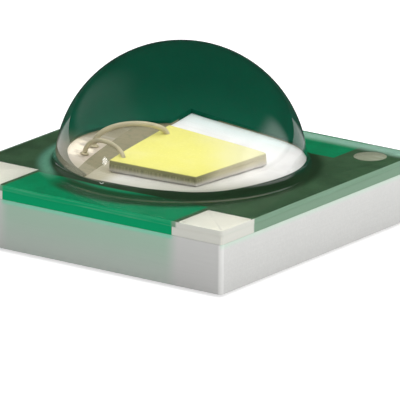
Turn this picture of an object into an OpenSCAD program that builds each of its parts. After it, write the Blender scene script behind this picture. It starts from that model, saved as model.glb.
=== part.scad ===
// High-power LED on a square ceramic carrier with a moulded silicone dome
// Millimetres, origin at the centre of the underside, +Z up through the dome

/* [Carrier] */
// Side of the square package, the same for ceramic, mask and lens film
package_side = 3.45; // [3.35:0.05:3.8]
// Thickness of the ceramic plate
ceramic_thick = 0.52; // [0.4:0.02:0.7]

/* [Underside pads] */
// Thickness of the plated pads below the ceramic
pad_thick = 0.03; // [0.02:0.01:0.1]
// Length of all three pads
pad_length = 3.25; // [2.8:0.05:3.3]
// Width of the thermal pad in the middle
thermal_pad_width = 1.30; // [0.9:0.05:1.5]
// Width of the anode pad and of the cathode pad
electrode_pad_width = 0.50; // [0.4:0.05:0.6]
// Margin from the package side to an electrode pad
electrode_pad_inset = 0.075; // [0.05:0.025:0.1]

/* [Vias] */
// Diameter of a filled via through the ceramic
via_diameter = 0.20; // [0.12:0.02:0.24]
// Distance between neighbouring vias on one side
via_pitch = 1.00; // [0.6:0.05:1.3]
// Number of vias on each side
vias_per_side = 3; // [1:1:3]

/* [Top conductors] */
// Thickness of the plated conductors on the ceramic
trace_thick = 0.09; // [0.06:0.01:0.12]
// Width of the conductor bar along the +X side, the chip's
bar_width = 0.61; // [0.56:0.01:0.65]
// Width of the conductor bar along the -X side, the wires'
bond_bar_width = 0.75; // [0.7:0.01:0.78]
// Extent along Y of the land in the middle
land_length = 2.20; // [1.8:0.05:2.4]
// Distance from the package centre to the middle of the gap between the conductors
gap_offset = 0.53; // [0.51:0.01:0.55]
// Width of the gap between the conductors
gap_width = 0.12; // [0.06:0.01:0.12]

/* [Solder mask] */
// Thickness of the mask over the conductors
mask_cover = 0.02; // [0.02:0.01:0.04]
// Diameter of the window's round part, over the wires' conductor
window_diameter = 1.50; // [1.48:0.02:1.8]
// Distance from the package centre to the +X end of the window
window_reach = 0.87; // [0.7:0.01:1]
// Extent along Y of the window's straight part, over the chip's conductor
window_width = 1.46; // [1.2:0.02:1.8]
// Radius of the window's two corners at the +X end
window_corner = 0.40; // [0.2:0.02:0.5]
// Width of mask left over a conductor bar beside a corner opening
corner_cover = 0.05; // [0.02:0.01:0.15]
// Diameter of the polarity opening
dot_diameter = 0.34; // [0.2:0.02:0.36]
// Distance from both package sides to the middle of the polarity opening
dot_inset = 0.35; // [0.25:0.01:0.37]

/* [Chip] */
// Side of the square chip
chip_side = 0.76; // [0.6:0.02:0.8]
// Shift of the chip from the package centre towards +X
chip_shift_x = 0.02; // [0:0.01:0.06]
// Shift of the chip from the package centre towards +Y
chip_shift_y = 0.02; // [0:0.01:0.06]
// Thickness of the chip
chip_thick = 0.05; // [0.04:0.01:0.12]
// Thickness of the bond layer under the chip
attach_thick = 0.01; // [0.01:0.005:0.02]
// Margin of the bond layer from the chip's outline
attach_inset = 0.02; // [0.01:0.01:0.05]
// Thickness of the phosphor layer, which also covers the contacts and the wires' balls
phosphor_thick = 0.03; // [0.02:0.01:0.06]
// Side of a square contact on the chip
contact_side = 0.08; // [0.07:0.01:0.1]
// Distance between the two contacts along Y
contact_pitch = 0.54; // [0.24:0.02:0.58]
// Thickness of a contact
contact_thick = 0.01; // [0.01:0.005:0.02]
// Margin from the chip's edge to a contact
contact_inset = 0.02; // [0.015:0.005:0.05]

/* [Bond wires] */
// Diameter of a wire across its flats
wire_diameter = 0.03; // [0.02:0.005:0.04]
// Diameter of the pressed ball at the chip end and of the foot at the far end
ball_diameter = 0.06; // [0.05:0.01:0.07]
// Thickness of the ball and of the foot
ball_thick = 0.015; // [0.01:0.005:0.02]
// Distance from the middle of the gap to a foot
foot_reach = 0.105; // [0.1:0.005:0.11]
// Distance between the two feet along Y
foot_pitch = 0.16; // [0.1:0.02:0.32]
// Height of a loop over its ball
loop_height = 0.08; // [0.05:0.01:0.12]

/* [Lens] */
// Thickness of the lens film over the mask
film_thick = 0.04; // [0.03:0.01:0.1]
// Diameter of the dome
dome_diameter = 2.57; // [2.2:0.01:2.6]
// Depth of the dome's centre below the top of the film
dome_sink = 0.04; // [0.03:0.01:0.1]
// Radius of the curved foot of the dome
foot_radius = 0.10; // [0.08:0.01:0.2]

/* [Hidden] */
$fn = 96;
eps = 0.01;
half_side = package_side / 2;
ceramic_z = pad_thick;
top_z = ceramic_z + ceramic_thick;
metal_z = top_z + trace_thick;
mask_z = metal_z + mask_cover;
film_z = mask_z + film_thick;
attach_z = metal_z;
chip_z = attach_z + attach_thick;
chip_top_z = chip_z + chip_thick;
contact_top_z = chip_top_z + contact_thick;
electrode_x = half_side - electrode_pad_inset - electrode_pad_width / 2;
bar_x = half_side - bar_width;
bond_bar_x = half_side - bond_bar_width;
die_edge = gap_offset - gap_width / 2;
contact_x = chip_side / 2 - contact_inset - contact_side / 2;
foot_x = gap_offset + foot_reach;
dome_r = dome_diameter / 2;
dome_z = film_z - dome_sink;
// The foot's ring dips this far into dome and film, so that no faces only touch
foot_dip = 0.004;
foot_ring_z = film_z + foot_radius - foot_dip;
foot_ring_r = sqrt(pow(dome_r + foot_radius - foot_dip, 2) - pow(foot_ring_z - dome_z, 2));
via_sides = 12;
ball_sides = 12;
wire_sides = 8;
loop_steps = 14;
// Share of its control points' height that the top of a wire's curve reaches
loop_share = 0.75;

// One sub-part each

// Square block on the Z axis, from z0 to z1
module slab(side, z0, z1) {
    translate([-side / 2, -side / 2, z0]) cube([side, side, z1 - z0]);
}

// Rectangular block between two corners in plan, from z0 to z1
module block(x0, x1, y0, y1, z0, z1) {
    translate([x0, y0, z0]) cube([x1 - x0, y1 - y0, z1 - z0]);
}

// Places of the vias, both sides
module at_vias() {
    for (side = [-1, 1], i = [0 : vias_per_side - 1])
        translate([side * electrode_x, (i - (vias_per_side - 1) / 2) * via_pitch, 0]) children();
}

module ceramic_substrate() {
    color("gainsboro") difference() {
        slab(package_side, ceramic_z, top_z);
        at_vias() translate([0, 0, ceramic_z - eps])
            cylinder(d = via_diameter, h = ceramic_thick + 2 * eps, $fn = via_sides);
    }
}

module vias() {
    color("peru") at_vias() translate([0, 0, ceramic_z])
        cylinder(d = via_diameter, h = ceramic_thick, $fn = via_sides);
}

// One underside pad, centred at x
module underside_pad(x, width) {
    color("silver") block(x - width / 2, x + width / 2, -pad_length / 2, pad_length / 2, 0, pad_thick);
}

module thermal_pad() underside_pad(0, thermal_pad_width);
module anode_pad() underside_pad(electrode_x, electrode_pad_width);
module cathode_pad() underside_pad(-electrode_x, electrode_pad_width);

// Conductor under the chip, with its bar along the +X side
module die_trace() {
    color("silver") union() {
        block(bar_x, half_side, -half_side, half_side, top_z, metal_z);
        block(-die_edge, bar_x + eps, -land_length / 2, land_length / 2, top_z, metal_z);
    }
}

// Conductor for the wires, with its bar along the -X side
module bond_trace() {
    color("silver") union() {
        block(-half_side, -bond_bar_x, -half_side, half_side, top_z, metal_z);
        block(-bond_bar_x - eps, -gap_offset - gap_width / 2, -land_length / 2, land_length / 2,
            top_z, metal_z);
    }
}

// Window of the mask: round up to the gap, then straight-sided with two rounded corners
module window_opening(depth) {
    half = window_width / 2;
    end = window_reach - window_corner;
    intersection() {
        translate([0, 0, metal_z]) cylinder(d = window_diameter, h = depth);
        block(-window_diameter, -die_edge + eps, -window_diameter, window_diameter,
            top_z, metal_z + 2 * depth);
    }
    block(-die_edge, end, -half, half, metal_z, metal_z + depth);
    block(end - eps, window_reach, window_corner - half, half - window_corner, metal_z, metal_z + depth);
    for (side = [-1, 1]) translate([end, side * (half - window_corner), metal_z])
        cylinder(r = window_corner, h = depth);
}

// Openings of the mask above the conductors: window, three corners, polarity opening
module mask_openings() {
    depth = mask_cover + eps;
    inner = bar_x + corner_cover;
    bond_inner = bond_bar_x + corner_cover;
    window_opening(depth);
    block(inner, half_side + eps, -half_side - eps, -inner, metal_z, metal_z + depth);
    for (side = [0, 1]) mirror([0, side, 0])
        block(-half_side - eps, -bond_inner, bond_inner, half_side + eps, metal_z, metal_z + depth);
    translate([half_side - dot_inset, half_side - dot_inset, metal_z]) cylinder(d = dot_diameter, h = depth);
}

module solder_mask() {
    color("seagreen") difference() {
        slab(package_side, top_z, mask_z);
        die_trace();
        bond_trace();
        mask_openings();
    }
}

// Place of the chip in plan
module at_chip() translate([chip_shift_x, chip_shift_y, 0]) children();

module die_attach() {
    color("dimgray") at_chip() slab(chip_side - 2 * attach_inset, attach_z, chip_z);
}

module led_chip() {
    color("darkkhaki") at_chip() slab(chip_side, chip_z, chip_top_z);
}

// Places of the two contacts in plan
module at_contacts() {
    at_chip() for (side = [-1, 1]) translate([-contact_x, side * contact_pitch / 2, 0]) children();
}

module phosphor_layer() {
    color("khaki") difference() {
        at_chip() slab(chip_side, chip_top_z, chip_top_z + phosphor_thick);
        chip_contacts();
        bond_wires();
    }
}

module chip_contacts() {
    color("gold") at_contacts() slab(contact_side, chip_top_z, contact_top_z);
}

// Point and direction at t on a cubic curve with the control points p
function curve_at(p, t) = pow(1 - t, 3) * p[0] + 3 * t * pow(1 - t, 2) * p[1]
    + 3 * t * t * (1 - t) * p[2] + pow(t, 3) * p[3];
function curve_along(p, t) = 3 * pow(1 - t, 2) * (p[1] - p[0]) + 6 * t * (1 - t) * (p[2] - p[1])
    + 3 * t * t * (p[3] - p[2]);

// Wire swept along the curve p, which lies in the vertical plane of its ends
module swept_wire(p) {
    span = p[3] - p[0];
    across = [-span[1], span[0], 0] / norm([span[0], span[1], 0]);
    corner_r = wire_diameter / 2 / cos(180 / wire_sides);
    points = [for (i = [0 : loop_steps])
        let (t = i / loop_steps, along = curve_along(p, t), up = cross(along, across))
            for (j = [0 : wire_sides - 1]) let (a = (j + 0.5) * 360 / wire_sides)
                curve_at(p, t) + corner_r * (cos(a) * across + sin(a) * up / norm(up))];
    sides = [for (i = [0 : loop_steps - 1], j = [0 : wire_sides - 1])
        let (a = i * wire_sides + j, b = i * wire_sides + (j + 1) % wire_sides)
            each [[a, b + wire_sides, b], [a, a + wire_sides, b + wire_sides]]];
    start = [for (j = [0 : wire_sides - 1]) j];
    end = [for (j = [wire_sides - 1 : -1 : 0]) loop_steps * wire_sides + j];
    polyhedron(points, concat(sides, [start, end]));
}

// One bond wire: ball on the contact, loop, foot on the bond trace
module bond_wire(side) {
    ball = [chip_shift_x - contact_x, chip_shift_y + side * contact_pitch / 2, contact_top_z];
    foot = [-foot_x, side * foot_pitch / 2, metal_z];
    rise = (loop_height - ball_thick / 2) / loop_share;
    mid = [0, 0, ball_thick / 2];
    translate(ball) cylinder(d = ball_diameter, h = ball_thick, $fn = ball_sides);
    translate(foot) cylinder(d = ball_diameter, h = ball_thick, $fn = ball_sides);
    crest = ball[2] + rise + mid[2];
    swept_wire([ball + mid, [ball[0], ball[1], crest], [foot[0], foot[1], crest], foot + mid]);
}

module bond_wires() {
    color("goldenrod") for (side = [-1, 1]) bond_wire(side);
}

// Moulded body of the lens: dome, curved foot and film, still solid
module lens_body() {
    intersection() {
        translate([0, 0, dome_z]) sphere(r = dome_r);
        slab(package_side, film_z - eps, film_z + dome_diameter);
    }
    difference() {
        translate([0, 0, film_z - eps]) cylinder(r = foot_ring_r, h = foot_ring_z - film_z + eps);
        translate([0, 0, foot_ring_z]) rotate_extrude() translate([foot_ring_r, 0]) circle(r = foot_radius);
        translate([0, 0, film_z - 2 * eps]) cylinder(r = dome_r / 2, h = foot_radius + 3 * eps);
    }
    slab(package_side, top_z, film_z);
}

module lens() {
    color("lightcyan", 0.4) difference() {
        lens_body();
        die_trace();
        bond_trace();
        solder_mask();
        die_attach();
        led_chip();
        phosphor_layer();
        chip_contacts();
        bond_wires();
    }
}

ceramic_substrate();
thermal_pad();
anode_pad();
cathode_pad();
vias();
die_trace();
bond_trace();
solder_mask();
die_attach();
led_chip();
phosphor_layer();
chip_contacts();
bond_wires();
lens();
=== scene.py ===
"""Looks of a high-power LED: ceramic carrier, green mask, chip with bond wires, moulded silicone dome."""

import math

import bmesh
import bpy
from mathutils import Matrix, Vector


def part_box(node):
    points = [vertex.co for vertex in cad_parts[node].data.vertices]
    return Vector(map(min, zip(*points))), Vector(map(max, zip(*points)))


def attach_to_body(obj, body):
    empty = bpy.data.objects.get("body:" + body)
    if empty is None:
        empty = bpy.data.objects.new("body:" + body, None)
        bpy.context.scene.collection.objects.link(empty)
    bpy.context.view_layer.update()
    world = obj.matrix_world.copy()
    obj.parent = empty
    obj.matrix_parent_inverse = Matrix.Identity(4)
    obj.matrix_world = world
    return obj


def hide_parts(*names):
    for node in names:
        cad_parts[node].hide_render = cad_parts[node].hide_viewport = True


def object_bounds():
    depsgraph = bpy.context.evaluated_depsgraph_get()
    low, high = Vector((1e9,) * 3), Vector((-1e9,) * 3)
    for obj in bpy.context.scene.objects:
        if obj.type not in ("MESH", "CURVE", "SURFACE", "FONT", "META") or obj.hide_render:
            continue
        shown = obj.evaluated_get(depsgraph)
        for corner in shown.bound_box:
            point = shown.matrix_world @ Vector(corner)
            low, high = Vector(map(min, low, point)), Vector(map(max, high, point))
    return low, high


bl_info = {
    "name": "High-power LED",
    "version": (1, 0, 0),
    "blender": (4, 5, 0),
    "location": "3D View > Sidebar > LED",
    "description": "Builds the visible pieces of a high-power LED on its solid model",
    "category": "Object",
}

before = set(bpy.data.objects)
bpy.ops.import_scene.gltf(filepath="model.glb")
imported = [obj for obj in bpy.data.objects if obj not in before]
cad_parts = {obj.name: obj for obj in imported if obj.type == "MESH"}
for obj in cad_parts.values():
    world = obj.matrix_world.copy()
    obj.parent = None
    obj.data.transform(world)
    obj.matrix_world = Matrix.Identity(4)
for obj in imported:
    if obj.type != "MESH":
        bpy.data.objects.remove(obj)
cad_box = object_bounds()

# Shapes are built in millimetres, where bevels of a few micrometres stay well above the operators' limits
MM = 0.001
# How far a cutter reaches past what it cuts, in millimetres
SPARE = 0.1
# How far the two cutters of the mask's window overlap, in millimetres
WINDOW_OVERLAP = 0.01
# How far the lens reaches below the conductors' tops, in millimetres
LAP = 0.002
# Phosphor left over a contact, in millimetres
CONTACT_ROOF = 0.004
# Height of a bead's middle over the metal that it is pressed on, in millimetres
BEAD_RISE = 0.0075
# How far the floor lies below the pads, in metres
FLOOR_GAP = 0.000002
# Distances from the middle, in millimetres, between which a finish turns into that of its sawn side
CERAMIC_SIDE = (1.69, 1.715)
MASK_SIDE = (1.70, 1.712)
SILVER_SIDE = (1.712, 1.719)
# Share of its control points' height that the top of a wire's curve reaches
CURVE_TOP = 0.75


def corners(node):
    """Lowest and highest corner of a solid, in millimetres."""
    low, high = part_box(node)
    return low / MM, high / MM


def length(name, description, default):
    """A size in metres, as the sidebar shows it."""
    return bpy.props.FloatProperty(
        name=name, description=description, default=default, min=0.0, unit="LENGTH", precision=6
    )


def colour(name, description, default):
    """A scene-linear colour."""
    return bpy.props.FloatVectorProperty(
        name=name, description=description, default=default, min=0.0, max=1.0, size=3, subtype="COLOR"
    )


def angle(name, description, degrees):
    """A turn, given in degrees."""
    return bpy.props.FloatProperty(
        name=name, description=description, default=math.radians(degrees), subtype="ANGLE"
    )


def amount(name, description, default, highest=1.0):
    """A plain number."""
    return bpy.props.FloatProperty(
        name=name, description=description, default=default, min=0.0, max=highest
    )


class LedSizes(bpy.types.PropertyGroup):
    """Sizes of the visible pieces that the solids' boxes don't give."""

    corner_radius: length("Corner radius", "Rounding of the package's four upright edges", 0.00003)
    ceramic_edge: length("Ceramic edge", "Rounding of the ceramic's level edges", 0.000012)
    saw_inset: length("Saw inset", "Set-back of mask and conductors from the sawn sides", 0.000003)
    plate_edge: length("Plate edge", "Rounding of pads, conductors and mask openings", 0.000006)
    bar_width: length("Bar width", "Width of the chip conductor's bar along the +X side", 0.00061)
    bond_bar_width: length("Bond bar width", "Width of the wires' conductor's bar along the -X side", 0.00075)
    land_length: length("Land length", "Extent of the land across the middle", 0.0022)
    window: length("Window", "Diameter of the mask window's round part, over the wires' conductor", 0.0015)
    window_reach: length("Window reach", "Distance from the middle to the window's +X end", 0.00087)
    window_width: length("Window width", "Width of the window's straight part, over the chip's conductor", 0.00146)
    window_corner: length("Window corner", "Rounding of the window's two corners at the +X end", 0.0004)
    corner_cover: length("Corner cover", "Mask left over a bar beside a corner opening", 0.00005)
    dot: length("Polarity dot", "Diameter of the polarity opening", 0.00034)
    dot_inset: length("Dot inset", "Distance from both sides to the polarity opening's middle", 0.00035)
    chip_edge: length("Chip edge", "Rounding of chip, phosphor and contacts", 0.000006)
    wire: length("Wire", "Diameter of a bond wire", 0.00003)
    ball: length("Ball", "Diameter of the pressed ball on a contact", 0.00006)
    loop: length("Loop", "Height of a wire's loop over its ball", 0.00008)
    foot_pitch: length("Foot pitch", "Distance between the two wire feet", 0.00016)
    film: length("Film", "Thickness of the lens film over the mask", 0.00004)
    dome: length("Dome", "Diameter of the dome", 0.00257)
    dome_foot: length("Dome foot", "Radius of the dome's curved foot", 0.0001)
    film_edge: length("Film edge", "Rounding of the film's rim", 0.00001)


class LedColours(bpy.types.PropertyGroup):
    """Colours of the finishes."""

    ceramic: colour("Ceramic", "Sintered ceramic", (0.74, 0.74, 0.72))
    # Painted light: the mask's green glowing on the ceramic's sides
    ceramic_green_glow: colour("Ceramic tint", "Ceramic that glows with the mask's green", (0.40, 0.57, 0.45))
    # Painted highlight: mint line along the top of the ±Y sides
    ceramic_mint_highlight: colour("Ceramic mint", "Ceramic right below the bare mask", (0.26, 0.66, 0.47))
    mask_green: colour("Mask on ceramic", "Mask with bright ceramic below it", (0.002, 0.29, 0.118))
    mask_olive: colour("Mask on metal", "Mask with a conductor below it", (0.058, 0.122, 0.060))
    mask_deep: colour("Mask under the dome", "Mask on metal, inside the dome", (0.0005, 0.080, 0.042))
    # Painted shade in the front half of the dome and painted shadow round its foot
    mask_painted_shade: colour("Mask ring", "Mask in the front half of the dome and round its foot", (0.021, 0.053, 0.021))
    # Painted haze at the dome's left rim, beside the window
    mask_rim_haze: colour("Thin mask", "Mask running out at the window's edge, beside the wires", (0.18, 0.172, 0.118))
    # Painted caustic light beside the dome's foot
    mask_caustic_light: colour("Bright mask", "Mask beside the dome's foot, at the wires' end", (0.20, 0.52, 0.36))
    # Painted highlight along the +Y side; also the tint of the saw marks on the film's sawn edge
    mask_sheen_and_marks: colour("Mask edge", "Thin mask along the +Y side", (0.42, 0.68, 0.55))
    mask_speck: colour("Mask specks", "Dark grain of the mask", (0.002, 0.10, 0.05))
    gap: colour("Gap", "Filler in the gap between the conductors", (0.27, 0.245, 0.155))
    silver: colour("Silver", "Matt silver plating", (0.95, 0.94, 0.92))
    # Painted shadow of the chip on the plating in front of it
    silver_chip_shadow: colour("Dull silver", "Plating in front of the chip", (0.46, 0.455, 0.37))
    # Painted light: the mask's green reflected on the plating
    silver_green_light: colour("Tinted silver", "Plating along the window's +Y edge", (0.80, 0.95, 0.92))
    silver_warm: colour("Bond silver", "Plating on the wires' side of the gap", (0.57, 0.50, 0.40))
    silver_bare: colour("Bare silver", "Plating in the corner openings", (0.89, 0.88, 0.78))
    silver_cut: colour("Cut silver", "Sawn edge of the plating at the corner openings", (0.76, 0.76, 0.69))
    silver_dot: colour("Dot silver", "Plating in the polarity opening", (0.37, 0.39, 0.28))
    sawn_metal: colour("Sawn metal", "Sawn edge of a conductor under the mask", (0.22, 0.36, 0.25))
    frosted: colour("Frosted film", "Sawn edge of the film on the -X and +Y sides", (0.80, 0.83, 0.80))
    phosphor: colour("Phosphor", "Phosphor layer", (0.65, 0.62, 0.170))
    phosphor_pale: colour("Pale phosphor", "Thin phosphor", (0.66, 0.64, 0.38))
    chip: colour("Chip", "Side wall of the chip", (0.23, 0.225, 0.115))
    # Painted light: the chip's wall colour as lit on the +X side
    chip_lit_side: colour("Chip +X side", "Brighter side wall of the chip", (0.47, 0.43, 0.29))
    # Painted light from the bright pad on the walls' lower part
    chip_foot_pad_light: colour("Chip foot", "Lower part of the chip's side walls", (0.56, 0.53, 0.49))
    gold: colour("Gold", "Bond wires and contacts", (0.60, 0.54, 0.36))
    copper: colour("Copper", "Filled vias", (0.80, 0.42, 0.24))
    attach: colour("Bond layer", "Metal layer below the chip", (0.78, 0.76, 0.73))
    plating: colour("Plating", "Underside pads", (0.86, 0.80, 0.66))
    floor: colour("Floor", "Pale floor", (0.62, 0.62, 0.62))


class LedStage(bpy.types.PropertyGroup):
    """Camera and light."""

    azimuth: angle("Azimuth", "Camera's turn from the -Y side", 35.265)
    elevation: angle("Elevation", "Camera's height above the horizon", 16.447)
    roll: angle("Roll", "Camera's turn about its line of sight", 0.466)
    distance: length("Distance", "Camera's distance from the underside's centre", 0.1)
    aim_side: length("Aim sideways", "How far right of the underside's centre the camera aims", 0.0001971)
    aim_up: length("Aim up", "How far above the underside's centre the camera aims", 0.0002944)
    focal: amount("Focal length", "Lens of the camera in millimetres, for a 36 mm frame", 887.78, 5000.0)
    overhead: amount("Overhead", "Strength of the wide light above", 1.55, 20.0)
    around: amount("Around", "Strength of the light near the horizon", 0.42, 20.0)
    inside: amount("Inside", "How much stronger the light is that enters the lens", 1.9, 20.0)
    side_box: amount("Side box", "Strength of the soft box at the left, as gloss shows it", 0.25, 20.0)
    side_lamp: amount("Side lamp", "Strength of the small lamp low at the left, as gloss shows it", 10.0, 40.0)
    side_strip: amount("Side strip", "Strength of the strip light at the right, as gloss shows it", 1.6, 20.0)
    floor_glow: amount("Floor glow", "Share of white that the camera sees on the floor at least", 0.65, 20.0)


class Value:
    """A shader socket whose arithmetic adds Math nodes."""

    def __init__(self, nodes, socket):
        self.nodes, self.socket = nodes, socket

    def math(self, operation, *values):
        return self.nodes.add("Math", {"operation": operation}, dict(enumerate(values)))

    def __add__(self, other):
        return self.math("ADD", self, other)

    __radd__ = __add__

    def __sub__(self, other):
        return self.math("SUBTRACT", self, other)

    def __rsub__(self, other):
        return self.math("SUBTRACT", other, self)

    def __mul__(self, other):
        return self.math("MULTIPLY", self, other)

    __rmul__ = __mul__

    def __abs__(self):
        return self.math("ABSOLUTE", self)


class Nodes:
    """The node tree of a finish or of the light all round."""

    def __init__(self, tree):
        self.tree = tree

    def add(self, kind, settings=None, sockets=None, out=0):
        """One node: its settings first, then the values or links of its sockets."""
        made = self.tree.nodes.new("ShaderNode" + kind)
        for key, value in (settings or {}).items():
            setattr(made, key, value)
        for key, value in (sockets or {}).items():
            self.feed(made.inputs[key], value)
        return Value(self, made.outputs[out])

    def feed(self, socket, value):
        if isinstance(value, Value):
            self.tree.links.new(value.socket, socket)
        elif socket.type == "RGBA":
            socket.default_value = (*tuple(value)[:3], 1.0)
        else:
            socket.default_value = value

    def split(self, vector):
        """The three parts of a vector."""
        return [self.add("SeparateXYZ", sockets={0: vector}, out=i) for i in range(3)]

    def place(self, stretch=(1.0, 1.0, 1.0)):
        """Object coordinates in millimetres, stretched per axis."""
        at = self.add("TexCoord", out="Object")
        return self.add("Mapping", sockets={"Vector": at, "Scale": [s / MM for s in stretch]})

    def along(self, vector, way):
        """How far a vector points along a given way."""
        return self.add("VectorMath", {"operation": "DOT_PRODUCT"}, {0: vector, 1: way}, out="Value")

    def reach(self, x, y):
        """Distance from the middle, in plan."""
        return self.add("Math", {"operation": "SQRT"}, {0: x * x + y * y})

    def rays(self):
        """Whether a ray has come through the lens, and whether it has left a matt surface."""
        through = self.add("LightPath", out="Is Transmission Ray")
        return through, self.step(self.add("LightPath", out="Diffuse Depth"), 0.4, 0.6)

    def step(self, value, start, end):
        """Smooth step from 0 at start to 1 at end."""
        return self.add(
            "MapRange", {"interpolation_type": "SMOOTHSTEP"}, {0: value, 1: start, 2: end, 3: 0.0, 4: 1.0}
        )

    def within(self, value, low, high, soft):
        """1 between low and high, 0 outside, with soft ends."""
        return self.step(value, low - soft, low + soft) * self.step(value, high + soft, high - soft)

    def blend(self, share, low, high):
        """Colour between low and high."""
        return self.add("Mix", {"data_type": "RGBA"}, {0: share, 6: low, 7: high}, out=2)

    def noise(self, vector, scale, detail=2.0, rough=0.5):
        """Cloudy noise from 0 to 1."""
        return self.add("TexNoise", None, {"Vector": vector, "Scale": scale, "Detail": detail, "Roughness": rough})

    def spots(self, vector, scale):
        """Distance from scattered points."""
        return self.add("TexVoronoi", None, {"Vector": vector, "Scale": scale})

    def bump(self, height, depth, strength=1.0):
        """Normal from a height; depth in millimetres."""
        return self.add("Bump", None, {"Height": height, "Distance": depth * MM, "Strength": strength})


class Finish(Nodes):
    """A material with one Principled shader."""

    def __init__(self, name):
        self.material = bpy.data.materials.new(name)
        self.material.use_nodes = True
        super().__init__(self.material.node_tree)
        self.shader = next(n for n in self.tree.nodes if n.type == "BSDF_PRINCIPLED")

    def set(self, **sockets):
        """Feeds the shader's sockets, named with underscores."""
        for key, value in sockets.items():
            self.feed(self.shader.inputs[key.replace("_", " ").title().replace("Ior", "IOR")], value)
        return self.material


def shaded(base, share):
    """A colour made darker or lighter."""
    return tuple(min(1.0, c * share) for c in base)


# In the finishes x, y and z are millimetres from the middle of the underside
def ceramic_finish(colours, bars):
    """Off-white sintered ceramic: grain, saw marks on the sides, painted shade on the ±Y sides, painted green glow
    and a painted mint highlight below the bare mask, painted highlights on the upright edges and along the top of
    the ±X sides.
    """
    f = Finish("sintered_ceramic")
    at = f.place()
    x, y, z = f.split(at)
    grain = f.noise(at, 42.0, 3.0, 0.6)
    cloud = f.noise(at, 2.4, 2.0)
    saw = f.noise(f.place((1.6, 1.6, 46.0)), 1.0, 3.0)
    body = f.blend(f.step(grain, 0.35, 0.7), shaded(colours.ceramic, 0.95), colours.ceramic)
    body = f.blend(f.step(cloud, 0.3, 0.75) * 0.5, body, shaded(colours.ceramic, 0.93))
    # Painted shade: the ±Y sides darker than the rest
    side = f.step(abs(y), *CERAMIC_SIDE)
    body = f.blend(side, body, shaded(colours.ceramic, 0.87))
    # Painted light: the mask's green glowing on the ±Y sides below the bare mask, fading downwards
    under = f.within(x, *bars, 0.1)
    body = f.blend(side * under * (0.35 + 0.65 * f.step(z, 0.02, 0.5)), body, colours.ceramic_green_glow)
    # Painted mint highlight along the top of the ±Y sides below the bare mask
    body = f.blend(side * f.within(x, *bars, 0.03) * f.step(z, 0.49, 0.53), body, colours.ceramic_mint_highlight)
    # Painted highlight on the four upright edges
    corner = f.step(abs(x) + abs(y), 3.40, 3.425)
    body = f.blend(corner * 0.8, body, shaded(colours.ceramic, 1.22))
    # Painted green highlight along the top of the ±X sides
    rim = f.step(z, 0.48, 0.55) * f.step(abs(x), *CERAMIC_SIDE)
    body = f.blend(rim * 0.5, body, shaded(colours.ceramic_green_glow, 1.45))
    return f.set(
        base_color=body, roughness=0.5 + 0.25 * grain, specular_ior_level=0.35,
        normal=f.bump(0.6 * saw + 0.4 * grain, 0.004, 0.6),
    )


def silver_finish(colours, ends):
    """Matt silver plating: fine grain, rolled streaks, greenish sawn edges where mask lies above."""
    f = Finish("matt_silver")
    at = f.place()
    x, y, _ = f.split(at)
    grain = f.noise(at, 70.0, 2.0, 0.6)
    cloud = f.noise(at, 5.0, 2.0)
    streak = f.noise(f.place((3.0, 40.0, 3.0)), 1.0, 2.0)
    metal = f.blend(f.step(cloud, 0.3, 0.7), shaded(colours.silver, 0.9), colours.silver)
    # Round the chip: painted shadow of the chip in front, painted green reflected light along the +Y edge, painted
    # shade beside the gap
    metal = f.blend(f.step(0.5 * x - y, -0.15, 0.70) * 0.9, metal, colours.silver_chip_shadow)
    # Painted green reflected light along the window's +Y edge
    metal = f.blend(f.step(y, 0.56, 0.72) * f.step(x, 0.35, 0.10) * 0.7, metal, colours.silver_green_light)
    # Painted shade left of the chip and in front of its left corner
    beside = f.step(x, -0.20, -0.36) * f.step(y, 0.40, 0.15)
    metal = f.blend(beside * 0.9, metal, shaded(colours.gap, 1.5))
    # On the wires' side: painted highlights in patches round the wires' feet, painted shade towards both ends
    from_feet = 3.0 * (x + 0.75) * (x + 0.75) + (y - 0.02) * (y - 0.02)
    highlight_patches = f.step(f.noise(at, 7.0, 3.0) - 6.0 * from_feet, 0.26, 0.44)
    bond = f.blend(highlight_patches, colours.silver_warm, shaded(colours.silver_warm, 1.8))
    # Painted shade towards the back and the front of the wires' side
    bond = f.blend(f.step(y, 0.08, 0.34), bond, shaded(colours.gap, 1.1))
    bond = f.blend(f.step(y, -0.18, -0.35) * 0.7, bond, shaded(colours.gap, 1.4))
    metal = f.blend(f.step(x, -0.55, -0.57), metal, bond)
    # In the corner openings and the polarity opening
    far = f.step(x * x + y * y, 1.0, 1.2)
    metal = f.blend(far, metal, colours.silver_bare)
    metal = f.blend(far * f.step(x, 0.9, 1.0) * f.step(y, 0.9, 1.0), metal, colours.silver_dot)
    metal = f.blend(0.25 * f.step(streak, 0.5, 0.8), metal, shaded(colours.silver_bare, 0.85))
    # On the sawn sides
    edge = f.add("Math", {"operation": "MAXIMUM"}, {0: abs(x), 1: abs(y)})
    metal = f.blend(f.step(edge, *SILVER_SIDE), metal, colours.silver_cut)
    sawn = f.step(abs(x), *SILVER_SIDE) * f.within(y, *ends, 0.015)
    metal = f.blend(sawn, metal, colours.sawn_metal)
    return f.set(
        base_color=metal, metallic=0.06 * (1.0 - sawn), roughness=0.5 + 0.2 * grain + 0.15 * sawn,
        normal=f.bump(grain, 0.002, 0.5),
    )


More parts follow.
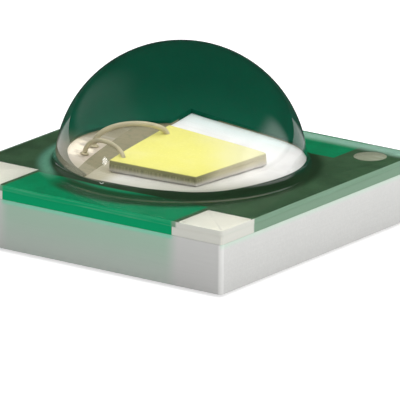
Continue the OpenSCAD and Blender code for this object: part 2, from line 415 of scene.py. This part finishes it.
def mask_finish(colours, bars, land_y):
    """Solder mask: bright green where ceramic lies below, dark olive where metal does."""
    f = Finish("solder_mask")
    at = f.place()
    x, y, z = f.split(at)
    grain = f.noise(at, 30.0, 3.0, 0.6)
    cloud = f.noise(at, 3.2, 3.0)
    bare = f.within(x, *bars, 0.012) * f.step(abs(y), land_y - 0.012, land_y + 0.012)
    olive = f.blend(f.step(cloud, 0.3, 0.7), shaded(colours.mask_olive, 0.85), shaded(colours.mask_olive, 1.15))
    green = f.blend(f.step(cloud, 0.3, 0.7), shaded(colours.mask_green, 0.92), shaded(colours.mask_green, 1.06))
    radius = f.reach(x, y)
    # Under the dome, with painted shade in its front half and inside its foot; painted haze beside the window at
    # the wires' end; and in the gap
    deep = f.blend(f.step(0.5 * x - y, -0.1, 0.5), colours.mask_deep, colours.mask_painted_shade)
    deep = f.blend(f.step(radius, 1.24, 1.32), deep, colours.mask_painted_shade)
    olive = f.blend(f.step(radius, 1.50, 1.38), olive, deep)
    # Painted haze at the dome's left rim
    haze_share = f.step(radius, 0.93, 0.87) * f.step(x, -0.15, -0.40) * f.step(y, 0.25, -0.10)
    olive = f.blend(haze_share, olive, colours.mask_rim_haze)
    olive = f.blend(f.step(radius, 0.80, 0.79) * f.step(z, 0.648, 0.643), olive, colours.gap)
    body = f.blend(bare, olive, green)
    # Round the dome's foot: painted shadow of the dome in front, painted caustic light at the wires' end
    foot = f.reach(x - 0.05, y + 0.2)
    dark = f.step(foot, 1.42, 1.29) * f.step(radius, 1.15, 1.25) * f.step(x, -0.78, -0.45)
    body = f.blend(dark * 0.85, body, colours.mask_painted_shade)
    # Painted caustic light beside the dome's foot at the wires' end
    bright = f.within(radius, 1.30, 1.44, 0.06) * f.step(x, -0.65, -0.95)
    body = f.blend(bright * 0.75, body, colours.mask_caustic_light)
    body = f.blend(f.step(grain, 0.45, 0.75) * 0.2, body, colours.mask_speck)
    # Along the sides: a painted highlight along the +Y side, then the sawn sides
    body = f.blend(f.step(y, 1.46, 1.62) * 0.9, body, colours.mask_sheen_and_marks)
    body = f.blend(f.step(abs(x), *MASK_SIDE), body, colours.sawn_metal)
    body = f.blend(f.step(abs(y), *MASK_SIDE) * bare, body, shaded(colours.mask_green, 1.3))
    return f.set(
        base_color=body, roughness=0.5 + 0.2 * grain, specular_ior_level=0.05,
        normal=f.bump(cloud + 0.3 * grain, 0.004, 0.4),
    )


def lit_wall_share(f, x, y):
    """Share of the painted light on the chip's +X wall, a lit copy of its colour, which grows away from the front
    corner.
    """
    return f.step(x, 0.385, 0.395) * f.step(y, -0.34, 0.0)


def phosphor_finish(colours):
    """Yellow phosphor powder in clear binder."""
    f = Finish("phosphor")
    at = f.place()
    x, y, z = f.split(at)
    grain = f.noise(at, 60.0, 3.0, 0.7)
    lumps = f.spots(at, 38.0)
    cloud = f.noise(at, 4.0, 2.0)
    body = f.blend(f.step(grain, 0.35, 0.7), shaded(colours.phosphor, 0.95), colours.phosphor)
    body = f.blend(f.step(cloud, 0.4, 0.8) * 0.25, body, colours.phosphor_pale)
    body = f.blend(f.step(x + y, 0.1, 0.7), body, colours.phosphor_pale)
    # Side walls in the chip's colour, with painted light on the +X wall
    sides = f.blend(lit_wall_share(f, x, y), colours.chip, colours.chip_lit_side)
    body = f.blend(f.step(z, 0.729, 0.721), body, sides)
    return f.set(
        base_color=body, roughness=0.75 + 0.2 * grain, specular_ior_level=0.1,
        normal=f.bump(lumps + 0.5 * grain, 0.003, 0.4),
    )


def chip_finish(colours):
    """Diced chip: dull side walls with scribe lines, painted light on the +X wall and on the walls' lower part."""
    f = Finish("diced_chip")
    at = f.place()
    x, y, z = f.split(at)
    lines = f.noise(f.place((50.0, 50.0, 6.0)), 1.0, 2.0)
    grain = f.noise(at, 45.0, 2.0)
    body = f.blend(f.step(lines, 0.35, 0.7), shaded(colours.chip, 0.75), shaded(colours.chip, 1.2))
    # Painted light on the +X wall
    body = f.blend(lit_wall_share(f, x, y), body, colours.chip_lit_side)
    # Painted light from the bright pad on the walls' lower part
    body = f.blend(f.step(z, 0.69, 0.65) * 0.85, body, colours.chip_foot_pad_light)
    return f.set(base_color=body, roughness=0.35 + 0.25 * grain, normal=f.bump(lines, 0.002, 0.4))


def metal_finish(name, base, shine, metallic=1.0):
    """Drawn or plated metal with fine grain."""
    f = Finish(name)
    at = f.place()
    grain = f.noise(at, 90.0, 2.0, 0.6)
    cloud = f.noise(at, 9.0, 2.0)
    metal = f.blend(f.step(cloud, 0.3, 0.7), shaded(base, 0.85), shaded(base, 1.05))
    return f.set(
        base_color=metal, metallic=metallic, roughness=1.0 - shine + 0.2 * grain, normal=f.bump(grain, 0.002, 0.4)
    )


def silicone_finish():
    """Clear moulded silicone: polished dome, satin film."""
    f = Finish("clear_silicone")
    x, y, _ = f.split(f.place())
    film = f.step(x * x + y * y, 1.90, 2.10)
    f.shader.inputs["Transmission Weight"].default_value = 1.0
    f.shader.inputs["IOR"].default_value = 1.55
    return f.set(base_color=(1.0, 1.0, 1.0), roughness=0.08 * film)


def sawn_finish(colours, bars):
    """Sawn edge of the film, which shows the colour of the layers behind it."""
    f = Finish("sawn_silicone")
    x, y, _ = f.split(f.place())
    marks = f.noise(f.place((2.0, 2.0, 60.0)), 1.0, 3.0)
    inner = f.within(x, *bars, 0.02)
    body = f.blend(f.step(abs(y), *MASK_SIDE) * inner, colours.sawn_metal, shaded(colours.mask_green, 1.28))
    left = f.within(y, bars[0] - 0.05, 0.05 - bars[0], 0.015)
    right = f.step(y, -bars[1] - 0.065, -bars[1] - 0.035)
    covered = left + (right - left) * f.step(x, -0.1, 0.1)
    ends = (1.0 - f.within(x, bars[0] - 0.05, bars[1] + 0.05, 0.015)) * (1.0 - covered)
    body = f.blend(ends, body, colours.silver_cut)
    body = f.blend(f.step(marks, 0.4, 0.8) * 0.15, body, colours.mask_sheen_and_marks)
    away = 1.0 - (1.0 - f.step(x, -1.70, -1.71)) * (1.0 - f.step(y, 1.70, 1.71))
    body = f.blend(away, body, colours.frosted)
    return f.set(
        base_color=body, roughness=0.6 + 0.2 * marks, specular_ior_level=0.1, normal=f.bump(marks, 0.003, 0.4)
    )


def floor_finish(colours, glow, front, right):
    """Pale even floor that also gives off a little light; gloss shows its far part dark."""
    f = Finish("pale_floor")
    at = f.place()
    cloud = f.noise(at, 0.15, 2.0)
    body = f.blend(f.step(cloud, 0.3, 0.7) * 0.3, colours.floor, shaded(colours.floor, 0.98))
    through, bounced = f.rays()
    behind = f.step(abs(f.along(at, right) + 0.12) + 0.62 * f.along(at, front), 0.5, -0.5)
    dark = f.add("LightPath", out="Is Glossy Ray") * (1.0 - through) * behind + through * (1.0 - bounced)
    body = f.blend(dark, body, shaded(colours.floor, 0.05))
    f.shader.inputs["Emission Strength"].default_value = glow
    seen = f.add("LightPath", out="Is Camera Ray")
    return f.set(base_color=body, roughness=0.9, specular_ior_level=0.0, emission_color=seen)


def bar_ends(sizes):
    """Where the bars along the -X and the +X side end, towards the middle."""
    half = corners("lens")[1].x
    return sizes.bond_bar_width / MM - half, half - sizes.bar_width / MM


def conductor_plan(side, gap, bar_end, land, out):
    """Corners of a conductor's plan: its land across the middle, then its bar along one side."""
    plan = [(gap, -land), (bar_end, -land), (bar_end, -out), (side * out, -out)]
    return plan + [(x, -y) for x, y in reversed(plan)]


def block(bm, low, high):
    """A block between two corners."""
    made = bmesh.ops.create_cube(bm, size=1.0)["verts"]
    bmesh.ops.scale(bm, vec=high - low, verts=made)
    bmesh.ops.translate(bm, vec=(low + high) / 2, verts=made)
    return made


def plate(bm, plan, low, high):
    """A flat plate from the corners of its plan, between two heights."""
    base = bm.faces.new([bm.verts.new((x, y, low)) for x, y in plan])
    lifted = bmesh.ops.extrude_face_region(bm, geom=[base], use_keep_orig=True)["geom"]
    bmesh.ops.translate(bm, vec=(0, 0, high - low), verts=[v for v in lifted if isinstance(v, bmesh.types.BMVert)])
    bmesh.ops.recalc_face_normals(bm, faces=bm.faces)


def bevel(bm, edges, width, segments=3):
    """Rounds edges."""
    bmesh.ops.bevel(
        bm, geom=edges, offset=width, offset_type="OFFSET", segments=segments, profile=0.5,
        affect="EDGES", material=-1, clamp_overlap=True,
    )


def upright(edge):
    """Whether an edge stands upright."""
    a, b = (v.co for v in edge.verts)
    return (a - b).xy.length < 1e-5


def level_at(edge, z):
    """Whether an edge lies at one height."""
    return all(abs(v.co.z - z) < 1e-5 for v in edge.verts)


def on_sawn_corner(edge, half):
    """Whether an upright edge stands at a corner of the package."""
    return upright(edge) and all(min(abs(v.co.x), abs(v.co.y)) > half - 0.02 for v in edge.verts)


def finish_piece(name, bm, materials, nodes=(), sharp=math.radians(32)):
    """Turns a shape in millimetres into a piece of the object that rides on its body."""
    bmesh.ops.remove_doubles(bm, verts=bm.verts, dist=1e-5)
    bmesh.ops.recalc_face_normals(bm, faces=bm.faces)
    for face in bm.faces:
        face.smooth = True
    for edge in bm.edges:
        edge.smooth = edge.calc_face_angle(math.pi) < sharp
    bmesh.ops.scale(bm, vec=(MM, MM, MM), verts=bm.verts)
    mesh = bpy.data.meshes.new(name)
    bm.to_mesh(mesh)
    bm.free()
    for material in materials:
        mesh.materials.append(material)
    piece = bpy.data.objects.new(name, mesh)
    bpy.context.scene.collection.objects.link(piece)
    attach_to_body(piece, "root")
    if nodes:
        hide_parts(*nodes)
    return piece


def cut(shape, cutters):
    """The shape less the cutters, all given as bmeshes in millimetres."""
    made = []
    for bm in (shape, *cutters):
        mesh = bpy.data.meshes.new("cut")
        bm.to_mesh(mesh)
        bm.free()
        made.append(bpy.data.objects.new("cut", mesh))
        bpy.context.scene.collection.objects.link(made[-1])
    for cutter in made[1:]:
        step = made[0].modifiers.new("cut", "BOOLEAN")
        step.operation, step.solver, step.object = "DIFFERENCE", "EXACT", cutter
    result = bmesh.new()
    result.from_object(made[0], bpy.context.evaluated_depsgraph_get())
    for thing in made:
        mesh = thing.data
        bpy.data.objects.remove(thing)
        bpy.data.meshes.remove(mesh)
    return result


class LED_OT_ceramic(bpy.types.Operator):
    """Build the ceramic carrier"""

    bl_idname = "led.ceramic"
    bl_label = "Ceramic carrier"

    def execute(self, context):
        sizes = context.scene.led_sizes
        low, high = corners("ceramic_substrate")
        bm = bmesh.new()
        block(bm, low, high)
        bevel(bm, [e for e in bm.edges if upright(e)], sizes.corner_radius / MM, 4)
        bevel(bm, [e for e in bm.edges if level_at(e, low.z) or level_at(e, high.z)], sizes.ceramic_edge / MM, 2)
        ceramic = ceramic_finish(context.scene.led_colours, bar_ends(sizes))
        finish_piece("ceramic_carrier", bm, [ceramic], ["ceramic_substrate"])
        return {"FINISHED"}


class LED_OT_underside(bpy.types.Operator):
    """Build the underside's three solder pads and give the vias and the bond layer their metal"""

    bl_idname = "led.underside"
    bl_label = "Underside pads"

    def execute(self, context):
        sizes = context.scene.led_sizes
        plating = metal_finish("pad_plating", context.scene.led_colours.plating, 0.62, 0.35)
        for node in ("thermal_pad", "anode_pad", "cathode_pad"):
            low, high = corners(node)
            bm = bmesh.new()
            block(bm, low, high)
            bevel(bm, [e for e in bm.edges if upright(e)], 6 * sizes.plate_edge / MM, 4)
            bevel(bm, [e for e in bm.edges if level_at(e, low.z)], sizes.plate_edge / MM, 2)
            finish_piece(node + "_plated", bm, [plating], [node])
        for node, base in (("vias", "copper"), ("die_attach", "attach")):
            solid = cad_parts[node]
            solid.data.materials.clear()
            metal = getattr(context.scene.led_colours, base)
            solid.data.materials.append(metal_finish(node + "_metal", metal, 0.55, 0.2))
        return {"FINISHED"}


class LED_OT_conductors(bpy.types.Operator):
    """Build the two silver conductors on the ceramic"""

    bl_idname = "led.conductors"
    bl_label = "Conductors"

    def execute(self, context):
        sizes = context.scene.led_sizes
        half = corners("lens")[1].x
        out, land, cover = half - sizes.saw_inset / MM, sizes.land_length / MM / 2, sizes.corner_cover / MM
        bond_bar, bar = bar_ends(sizes)
        for node, side, inner, top in (("die_trace", 1, bar, half), ("bond_trace", -1, bond_bar, cover - bond_bar)):
            silver = silver_finish(context.scene.led_colours, (-abs(inner) - cover, top))
            low, high = corners(node)
            gap = low.x if side > 0 else high.x
            bm = bmesh.new()
            plate(bm, conductor_plan(side, gap, inner, land, out), low.z, high.z)
            bevel(bm, [e for e in bm.edges if on_sawn_corner(e, half)], sizes.corner_radius / MM, 4)
            bevel(bm, [e for e in bm.edges if level_at(e, high.z)], sizes.plate_edge / MM, 2)
            finish_piece(node.replace("trace", "conductor"), bm, [silver], [node])
        return {"FINISHED"}


class LED_OT_mask(bpy.types.Operator):
    """Build the green solder mask with its openings"""

    bl_idname = "led.mask"
    bl_label = "Solder mask"

    def execute(self, context):
        sizes = context.scene.led_sizes
        low, high = corners("solder_mask")
        half, metal = high.x, corners("die_trace")[1].z
        out, land, cover = half - sizes.saw_inset / MM, sizes.land_length / MM / 2, sizes.corner_cover / MM
        bond_bar, bar = bar_ends(sizes)
        body = bmesh.new()
        block(body, Vector((-out, -out, low.z)), Vector((out, out, high.z)))
        bevel(body, [e for e in body.edges if upright(e)], sizes.corner_radius / MM, 4)
        cutters = []
        over = half + SPARE
        for side, bar_end, gap in ((1, bar, corners("die_trace")[0].x), (-1, bond_bar, corners("bond_trace")[1].x)):
            cutters.append(bmesh.new())
            plate(cutters[-1], conductor_plan(side, gap, bar_end, land, over), low.z - SPARE, metal)
        for sx, sy, inner in ((1, -1, bar + cover), (-1, -1, cover - bond_bar), (-1, 1, cover - bond_bar)):
            xs, ys = sorted((sx * inner, sx * over)), sorted((sy * inner, sy * over))
            cutters.append(bmesh.new())
            block(cutters[-1], Vector((xs[0], ys[0], metal)), Vector((xs[1], ys[1], high.z + SPARE)))
        cutters += self.window(sizes, metal, high.z + SPARE)
        dot, dot_radius, deep = half - sizes.dot_inset / MM, sizes.dot / MM / 2, 4 * SPARE
        cutters.append(bmesh.new())
        bmesh.ops.create_cone(
            cutters[-1], cap_ends=True, segments=48, radius1=dot_radius, radius2=dot_radius, depth=deep,
            matrix=Matrix.Translation((dot, dot, metal + deep / 2)),
        )
        bm = cut(body, cutters)
        rims = [e for e in bm.edges if level_at(e, high.z) and e.calc_face_angle(0) > 1.0]
        rims = [e for e in rims if max(abs(c) for v in e.verts for c in v.co.xy) < out - 1e-3]
        bevel(bm, rims, sizes.plate_edge / MM, 2)
        mask = mask_finish(context.scene.led_colours, (bond_bar, bar), land)
        finish_piece("green_mask", bm, [mask], ["solder_mask"])
        return {"FINISHED"}

    def window(self, sizes, low, high):
        """Cutters of the window: round up to the gap, then straight-sided with two rounded corners."""
        radius, reach, wide = sizes.window / MM / 2, sizes.window_reach / MM, sizes.window_width / MM / 2
        edge = corners("die_trace")[0].x
        first = math.acos((edge + WINDOW_OVERLAP) / radius)
        turns = [first + (math.tau - 2 * first) * i / 96 for i in range(97)]
        round_part, straight_part = bmesh.new(), bmesh.new()
        plate(round_part, [(radius * math.cos(t), radius * math.sin(t)) for t in turns], low, high)
        block(straight_part, Vector((edge, -wide, low)), Vector((reach, wide, high)))
        far = [e for e in straight_part.edges if upright(e) and e.verts[0].co.x > 0]
        bevel(straight_part, far, sizes.window_corner / MM, 24)
        return [round_part, straight_part]


class LED_OT_chip(bpy.types.Operator):
    """Build the chip with its phosphor layer and contacts"""

    bl_idname = "led.chip"
    bl_label = "Chip"

    def execute(self, context):
        sizes, colours = context.scene.led_sizes, context.scene.led_colours
        edge = sizes.chip_edge / MM
        low, high = corners("led_chip")
        bm = bmesh.new()
        block(bm, low, high)
        bevel(bm, bm.edges[:], edge, 2)
        finish_piece("chip_body", bm, [chip_finish(colours)], ["led_chip"])
        pads, tops = corners("chip_contacts")
        wide = tops.x - pads.x
        low, high = corners("phosphor_layer")
        sheet = bmesh.new()
        block(sheet, low, high)
        bevel(sheet, [e for e in sheet.edges if upright(e) or level_at(e, high.z)], edge, 2)
        pockets = []
        for y in (pads.y, tops.y - wide):
            pockets.append(bmesh.new())
            top = high.z - CONTACT_ROOF
            block(pockets[-1], Vector((pads.x, y, low.z - SPARE)), Vector((tops.x, y + wide, top)))
        bm = cut(sheet, pockets)
        finish_piece("phosphor_sheet", bm, [phosphor_finish(colours)], ["phosphor_layer"])
        bm = bmesh.new()
        for y in (pads.y, tops.y - wide):
            block(bm, Vector((pads.x, y, pads.z)), Vector((tops.x, y + wide, tops.z)))
        bevel(bm, [e for e in bm.edges if upright(e) or level_at(e, tops.z)], edge / 2, 2)
        gold = metal_finish("contact_gold", colours.gold, 0.6, 0.3)
        finish_piece("contact_pads", bm, [gold], ["chip_contacts"])
        return {"FINISHED"}


class LED_OT_wires(bpy.types.Operator):
    """Build the two bond wires with ball and foot"""

    bl_idname = "led.wires"
    bl_label = "Bond wires"

    def execute(self, context):
        sizes = context.scene.led_sizes
        low, high = corners("chip_contacts")
        metal = corners("bond_trace")[1].z
        inset = (high.x - low.x) / 2
        ball_r = sizes.ball / MM / 2
        foot_x = corners("bond_wires")[0].x + ball_r
        bm = bmesh.new()
        for side in (-1, 1):
            ball = Vector((low.x + inset, high.y - inset if side > 0 else low.y + inset, high.z + BEAD_RISE))
            foot = Vector((foot_x, side * sizes.foot_pitch / MM / 2, metal + BEAD_RISE))
            crest = ball.z + (sizes.loop / MM - BEAD_RISE) / CURVE_TOP
            self.sweep(bm, [ball, Vector((*ball.xy, crest)), Vector((*foot.xy, crest)), foot], sizes.wire / MM / 2)
            turn = Matrix.Rotation(math.atan2(*reversed((ball - foot).xy)), 4, "Z")
            self.bead(bm, Matrix.Translation(ball), (ball_r, ball_r, BEAD_RISE * 1.25))
            self.bead(bm, Matrix.Translation(foot) @ turn, (ball_r, ball_r * 0.75, BEAD_RISE * 1.1))
        gold = metal_finish("drawn_gold", context.scene.led_colours.gold, 0.7, 0.2)
        finish_piece("gold_wires", bm, [gold], ["bond_wires"])
        return {"FINISHED"}

    def bead(self, bm, place, half_sizes):
        """A pressed bead of gold."""
        shape = place @ Matrix.Diagonal((*half_sizes, 1))
        bmesh.ops.create_uvsphere(bm, u_segments=24, v_segments=12, radius=1.0, matrix=shape)

    def sweep(self, bm, points, radius, steps=40):
        """A round wire along a cubic curve with four control points."""
        a, b, c, d = points
        across = Vector((a.y - d.y, d.x - a.x, 0)).normalized()
        places = []
        for i in range(steps + 1):
            t = i / steps
            s = 1 - t
            at = s**3 * a + 3 * t * s * s * b + 3 * t * t * s * c + t**3 * d
            along = (s * s * (b - a) + 2 * t * s * (c - b) + t * t * (d - c)).normalized()
            turn = Matrix((across, along.cross(across), along)).transposed().to_4x4()
            places.append(Matrix.Translation(at) @ turn)
        ring = bmesh.ops.create_circle(bm, cap_ends=True, segments=14, radius=radius, matrix=places[0])["verts"]
        edges = list(dict.fromkeys(e for v in ring for e in v.link_edges))
        for before, after in zip(places, places[1:]):
            made = bmesh.ops.extrude_edge_only(bm, edges=edges)["geom"]
            verts = [g for g in made if isinstance(g, bmesh.types.BMVert)]
            edges = [g for g in made if isinstance(g, bmesh.types.BMEdge) and all(v in verts for v in g.verts)]
            bmesh.ops.transform(bm, matrix=after @ before.inverted(), verts=verts)
        bmesh.ops.holes_fill(bm, edges=edges, sides=0)


class LED_OT_lens(bpy.types.Operator):
    """Build the moulded lens: dome, curved foot and film"""

    bl_idname = "led.lens"
    bl_label = "Lens"

    def execute(self, context):
        sizes = context.scene.led_sizes
        low, high = corners("lens")
        half, radius, foot = high.x, sizes.dome / MM / 2, sizes.dome_foot / MM
        film = corners("solder_mask")[1].z + sizes.film / MM
        under = corners("die_trace")[1].z - LAP
        middle = high.z - radius
        rise = film + foot - middle
        reach = math.sqrt((radius + foot) ** 2 - rise**2)
        meet = math.atan2(reach, rise)
        bm = bmesh.new()
        tip = bm.verts.new((0, 0, high.z))
        arc = {"axis": (0, 1, 0), "use_merge": False, "use_duplicate": False}
        last = bmesh.ops.spin(bm, geom=[tip], cent=(0, 0, middle), angle=meet, steps=64, **arc)["geom_last"]
        bmesh.ops.spin(bm, geom=last, cent=(reach, 0, film + foot), angle=-meet, steps=20, **arc)
        profile = bm.verts[:] + bm.edges[:]
        bmesh.ops.spin(bm, geom=profile, cent=(0, 0, 0), axis=(0, 0, 1), angle=math.tau, steps=256, use_merge=True)
        bmesh.ops.remove_doubles(bm, verts=bm.verts, dist=1e-5)
        rim = self.extruded(bm, [e for e in bm.edges if e.is_boundary])
        for vert in {v for e in rim for v in e.verts}:
            vert.co *= half / max(abs(vert.co.x), abs(vert.co.y))
            vert.co.z = film
        rim = self.extruded(bm, rim)
        for vert in {v for e in rim for v in e.verts}:
            vert.co.z = under
        bmesh.ops.holes_fill(bm, edges=rim, sides=0)
        bmesh.ops.recalc_face_normals(bm, faces=bm.faces)
        bevel(bm, [e for e in bm.edges if on_sawn_corner(e, half)], sizes.corner_radius / MM, 4)
        brow = [e for e in bm.edges if level_at(e, film) and e.calc_face_angle(0) > 1.0]
        bevel(bm, brow, sizes.film_edge / MM, 3)
        for face in bm.faces:
            face.normal_update()
            if abs(face.normal.z) < 0.5 and max(abs(c) for c in face.calc_center_median().xy) > half - 0.05:
                face.material_index = 1
        finishes = [silicone_finish(), sawn_finish(context.scene.led_colours, bar_ends(sizes))]
        finish_piece("clear_lens", bm, finishes, ["lens"])
        return {"FINISHED"}

    def extruded(self, bm, edges):
        """The new outer loop of an extruded loop of edges."""
        made = bmesh.ops.extrude_edge_only(bm, edges=edges)["geom"]
        verts = {g for g in made if isinstance(g, bmesh.types.BMVert)}
        return [g for g in made if isinstance(g, bmesh.types.BMEdge) and verts.issuperset(g.verts)]


class LED_OT_stage(bpy.types.Operator):
    """Set the floor, the light all round and the camera"""

    bl_idname = "led.stage"
    bl_label = "Floor, light and camera"

    def execute(self, context):
        scene, stage = context.scene, context.scene.led_stage
        a, e, r = stage.azimuth, stage.elevation, stage.roll
        bm = bmesh.new()
        bmesh.ops.create_grid(bm, x_segments=8, y_segments=8, size=0.6)
        mesh = bpy.data.meshes.new("floor")
        bm.to_mesh(mesh)
        bm.free()
        front, right = Vector((math.sin(a), -math.cos(a), 0)), Vector((math.cos(a), math.sin(a), 0))
        mesh.materials.append(floor_finish(scene.led_colours, stage.floor_glow, front, right))
        floor = bpy.data.objects.new("floor", mesh)
        floor.location.z = cad_box[0].z - FLOOR_GAP
        scene.collection.objects.link(floor)

        self.light(scene, stage, right, front)
        back = math.cos(e) * front + math.sin(e) * Vector((0, 0, 1))
        rise = back.cross(right)
        right, rise = math.cos(r) * right + math.sin(r) * rise, math.cos(r) * rise - math.sin(r) * right
        lens = bpy.data.cameras.new("camera")
        lens.lens, lens.sensor_width = stage.focal, 36.0
        lens.clip_start, lens.clip_end = 0.01, 2.0
        camera = bpy.data.objects.new("camera", lens)
        place = back * stage.distance + right * stage.aim_side + rise * stage.aim_up
        camera.matrix_world = Matrix.Translation(place) @ Matrix((right, rise, back)).transposed().to_4x4()
        scene.collection.objects.link(camera)
        scene.camera = camera
        scene.view_settings.view_transform = "Standard"
        return {"FINISHED"}

    def light(self, scene, stage, right, front):
        """One wide soft light all round; gloss shows a few soft lamps instead."""
        world = bpy.data.worlds.new("soft_light")
        world.use_nodes = True
        scene.world = world
        w = Nodes(world.node_tree)
        toward = w.add("TexCoord", out="Generated")
        height = w.split(toward)[2]
        side = w.along(toward, right)
        lit = stage.around * (0.15 + 1.7 * w.step(side, -0.8, 0.8))
        lit = lit + (stage.overhead - stage.around) * w.step(height, 0.15, 0.85)
        box = w.step(side, -0.35, -0.7) * w.step(height, 0.05, 0.2) * w.step(height, 0.95, 0.7) * stage.side_box
        strip = w.step(side, 0.80, 0.92) * w.step(height, 0.02, 0.08) * w.step(height, 0.5, 0.3) * stage.side_strip
        lamp_way = (0.139 * Vector((0, 0, 1)) - 0.955 * right + 0.256 * front).normalized()
        lamp = w.step(w.along(toward, lamp_way), 0.9982, 0.9996) * stage.side_lamp
        dark_sky = 0.015
        seen = dark_sky + box + strip + lamp
        gloss = w.add("LightPath", out="Is Glossy Ray")
        camera = w.add("LightPath", out="Is Camera Ray")
        through, bounced = w.rays()
        plain = gloss * (1.0 - through) + through * (1.0 - bounced)
        level = plain * seen + (1.0 - plain) * lit * (1.0 + (stage.inside - 1.0) * through)
        level = camera + (1.0 - camera) * level
        shader = next(n for n in world.node_tree.nodes if n.type == "BACKGROUND")
        w.feed(shader.inputs["Strength"], level)
        w.feed(shader.inputs["Color"], (1.0, 1.0, 1.0))


class LED_PT_pieces(bpy.types.Panel):
    """Sidebar list of the pieces"""

    bl_idname = "LED_PT_pieces"
    bl_label = "High-power LED"
    bl_space_type = "VIEW_3D"
    bl_region_type = "UI"
    bl_category = "LED"

    def draw(self, context):
        layout, scene = self.layout, context.scene
        for operator in OPERATORS:
            layout.operator(operator.bl_idname)
        for group in (scene.led_sizes, scene.led_colours, scene.led_stage):
            column = layout.box().column()
            for name in group.__annotations__:
                column.prop(group, name)


OPERATORS = (
    LED_OT_ceramic, LED_OT_underside, LED_OT_conductors, LED_OT_mask,
    LED_OT_chip, LED_OT_wires, LED_OT_lens, LED_OT_stage,
)
CLASSES = (LedSizes, LedColours, LedStage, *OPERATORS, LED_PT_pieces)


def register():
    for made in CLASSES:
        bpy.utils.register_class(made)
    bpy.types.Scene.led_sizes = bpy.props.PointerProperty(type=LedSizes)
    bpy.types.Scene.led_colours = bpy.props.PointerProperty(type=LedColours)
    bpy.types.Scene.led_stage = bpy.props.PointerProperty(type=LedStage)


def unregister():
    for name in ("led_sizes", "led_colours", "led_stage"):
        delattr(bpy.types.Scene, name)
    for made in reversed(CLASSES):
        bpy.utils.unregister_class(made)


def main():
    register()
    bpy.ops.led.ceramic()
    bpy.ops.led.underside()
    bpy.ops.led.conductors()
    bpy.ops.led.mask()
    bpy.ops.led.chip()
    bpy.ops.led.wires()
    bpy.ops.led.lens()
    bpy.ops.led.stage()


if __name__ == "__main__":
    main()
